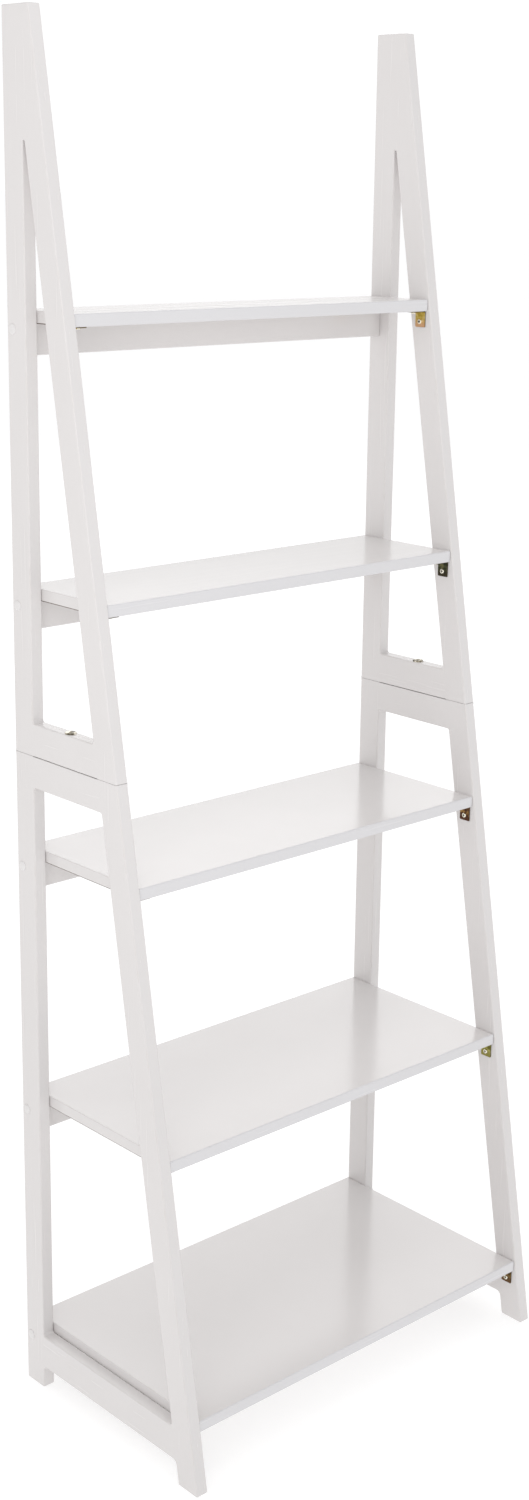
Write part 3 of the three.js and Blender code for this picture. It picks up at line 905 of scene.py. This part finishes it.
# A pale disc that reaches past the horizon from every side.
def add_floor():
    bm = bmesh.new()
    bmesh.ops.create_circle(bm, cap_ends=True, segments=96, radius=FLOOR_RADIUS)
    mesh = bpy.data.meshes.new("floor")
    bm.to_mesh(mesh)
    bm.free()
    material, _, shader = new_material("pale_floor")
    shader.inputs["Base Color"].default_value = FLOOR_TONE
    shader.inputs["Roughness"].default_value = 1.0
    shader.inputs["Specular IOR Level"].default_value = 0.0
    shader.inputs["Emission Color"].default_value = (1.0, 1.0, 1.0, 1.0)
    shader.inputs["Emission Strength"].default_value = FLOOR_GLOW
    mesh.materials.append(material)
    floor = bpy.data.objects.new("floor", mesh)
    bpy.context.scene.collection.objects.link(floor)


# A soft rectangular lamp. It lights the shelf and shows in its gloss, but isn't a shape in the room.
def add_softbox(name, place, target, width, height, power):
    light = bpy.data.lights.new(name, "AREA")
    light.shape = "RECTANGLE"
    light.size = width
    light.size_y = height
    light.energy = power
    lamp = bpy.data.objects.new(name, light)
    lamp.location = place
    lamp.rotation_euler = (Vector(target) - Vector(place)).to_track_quat("-Z", "Y").to_euler()
    lamp.visible_camera = False
    bpy.context.scene.collection.objects.link(lamp)


ROOM_STRENGTH = 1.04
HORIZON = (1.0, 1.0, 1.0)
CEILING = (0.80, 0.80, 0.80)
FRONT_TINT = (0.92, 0.935, 0.95)
SIDE_TINT = (0.87, 0.86, 0.857)
REAR_TINT = (1.0, 1.0, 1.0)


# A white room, a little dimmer overhead, with cooler light from the front than from the sides.
def add_world():
    world = bpy.data.worlds.new("white_studio")
    world.use_nodes = True
    tree = world.node_tree
    sky = tree.nodes["Background"]
    direction = tree.nodes.new("ShaderNodeTexCoord").outputs["Generated"]
    axes = tree.nodes.new("ShaderNodeSeparateXYZ")
    tree.links.new(direction, axes.inputs["Vector"])
    level = ramp(tree, axes.outputs["Z"], (0.1, HORIZON), (0.17, CEILING))
    depth = spread(tree, axes.outputs["Y"], 0.0, 1.0, -1.0, 1.0)
    tint = ramp(tree, depth, (0.1, FRONT_TINT), (0.5, SIDE_TINT), (0.75, REAR_TINT))
    room = tree.nodes.new("ShaderNodeMix")
    room.data_type = "RGBA"
    room.blend_type = "MULTIPLY"
    room.inputs["Factor"].default_value = 1.0
    tree.links.new(level, room.inputs["A"])
    tree.links.new(tint, room.inputs["B"])
    tree.links.new(room.outputs["Result"], sky.inputs["Color"])
    sky.inputs["Strength"].default_value = ROOM_STRENGTH
    bpy.context.scene.world = world


CAMERA_PLACE = Vector((-1.78932, -1.89485, 1.63009))
CAMERA_AZIMUTH = math.radians(-42.443)
CAMERA_ELEVATION = math.radians(15.052)
CAMERA_ROLL = math.radians(0.750)
FOCAL_PIXELS = 2026.41
IMAGE_HEIGHT = 1500
PRINCIPAL_ROW = 727.6  # the picture's row on the lens axis
SENSOR = 36.0


def add_camera():
    data = bpy.data.cameras.new("camera")
    data.sensor_width = SENSOR
    data.lens = SENSOR * FOCAL_PIXELS / IMAGE_HEIGHT
    data.shift_y = (PRINCIPAL_ROW - IMAGE_HEIGHT / 2) / IMAGE_HEIGHT
    data.clip_end = 2 * FLOOR_RADIUS
    level = math.cos(CAMERA_ELEVATION)
    back = Vector(
        (
            math.sin(CAMERA_AZIMUTH) * level,
            -math.cos(CAMERA_AZIMUTH) * level,
            math.sin(CAMERA_ELEVATION),
        )
    )
    right = Vector((0, 0, 1)).cross(back).normalized()
    up = back.cross(right)
    turned_right = right * math.cos(CAMERA_ROLL) + up * math.sin(CAMERA_ROLL)
    turned_up = up * math.cos(CAMERA_ROLL) - right * math.sin(CAMERA_ROLL)
    axes = Matrix((turned_right, turned_up, back)).transposed()
    camera = bpy.data.objects.new("camera", data)
    camera.matrix_world = Matrix.Translation(CAMERA_PLACE) @ axes.to_4x4()
    bpy.context.scene.collection.objects.link(camera)
    bpy.context.scene.camera = camera


# Name, place, target, width, height and watts.
SOFTBOXES = [
    ("side_light", (-1.4, -1.0, 1.5), (-0.3, -0.05, 1.55), 0.9, 1.4, 5.8),
    ("top_light", (-0.4, -0.8, 4.2), (0, 0, 0.6), 1.6, 1.6, 12.0),
    ("rear_light", (5.9, 5.3, 5.1), (0, 0, 0.8), 6.5, 4.4, 105.0),
]

add_floor()
add_world()
for softbox in SOFTBOXES:
    add_softbox(*softbox)
add_camera()
bpy.context.scene.view_settings.view_transform = "Standard"
